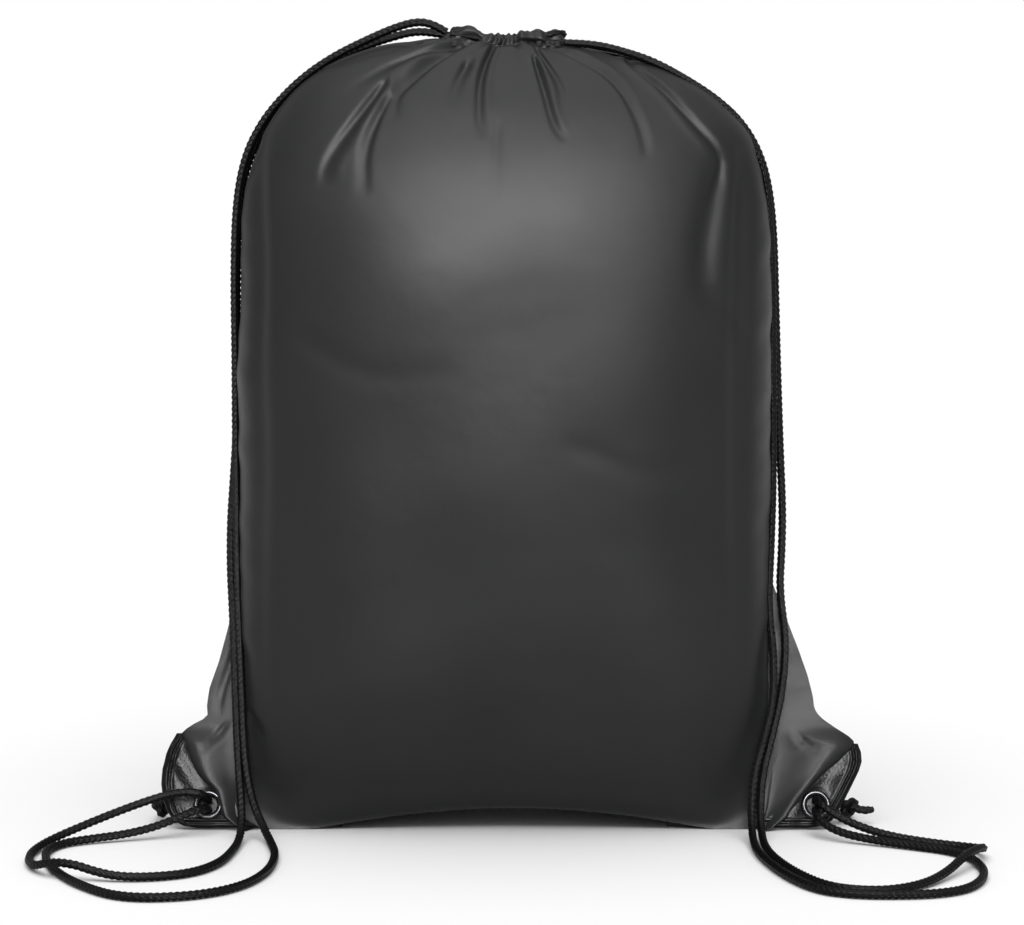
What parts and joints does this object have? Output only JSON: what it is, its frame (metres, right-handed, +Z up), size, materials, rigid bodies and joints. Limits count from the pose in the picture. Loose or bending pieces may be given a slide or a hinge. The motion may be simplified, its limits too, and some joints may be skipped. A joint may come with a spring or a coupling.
{
  "type": "drawstring backpack",
  "caption": "Black drawstring backpack standing stuffed: gathered mouth, cord casings, reinforced eyelet corners and doubled cord straps looped on the floor.",
  "frame": {"origin": "middle of the bag's footprint on the floor, cords left out", "axes": "+X along the bag's width, to the right of a viewer facing its front; +Y to the back; +Z up through the mouth"},
  "size_m": [0.4474, 0.2615, 0.3932],
  "materials": {
    "bag_cloth": "satin",
    "corner_vinyl": "gloss",
    "braided_cord": "matte",
    "eyelet_metal": "gloss",
    "thread": "matte"
  },
  "bodies": {
    "bag": {"back_casing": "bag_cloth", "back_panel": "bag_cloth", "bottom_seam": "bag_cloth", "front_casing": "bag_cloth", "front_panel": "bag_cloth", "left_bar_tacks": "thread", "left_corner_patch_back": "corner_vinyl", "left_corner_patch_front": "corner_vinyl", "left_eyelet": "eyelet_metal", "left_eyelet_washer": "eyelet_metal", "left_front_strand": "braided_cord", "left_rear_strand": "braided_cord", "left_side_seam": "bag_cloth", "right_bar_tacks": "thread", "right_corner_patch_back": "corner_vinyl", "right_corner_patch_front": "corner_vinyl", "right_eyelet": "eyelet_metal", "right_eyelet_washer": "eyelet_metal", "right_front_strand": "braided_cord", "right_rear_strand": "braided_cord", "right_side_seam": "bag_cloth"},
    "left_drawcord_body": {"left_drawcord": "braided_cord"},
    "right_drawcord_body": {"right_drawcord": "braided_cord"},
    "left_cord_end_body": {"left_cord_end": "braided_cord", "left_knot": "braided_cord", "left_cord_tails": "braided_cord"},
    "right_cord_end_body": {"right_cord_end": "braided_cord", "right_knot": "braided_cord", "right_cord_tails": "braided_cord"}
  },
  "joints": [
    {"name": "left_drawcord_slide", "type": "slide", "parent": "bag", "child": "left_drawcord_body", "axis": [1, 0, 0], "range_m": [0, 0.012]},
    {"name": "right_drawcord_slide", "type": "slide", "parent": "bag", "child": "right_drawcord_body", "axis": [-1, 0, 0], "range_m": [0, 0.012]},
    {"name": "left_cord_end_slide", "type": "slide", "parent": "bag", "child": "left_cord_end_body", "axis": [0, 0.9578, -0.2874], "range_m": [0, 0.006]},
    {"name": "right_cord_end_slide", "type": "slide", "parent": "bag", "child": "right_cord_end_body", "axis": [0, 0.9578, -0.2874], "range_m": [0, 0.006]}
  ]
}
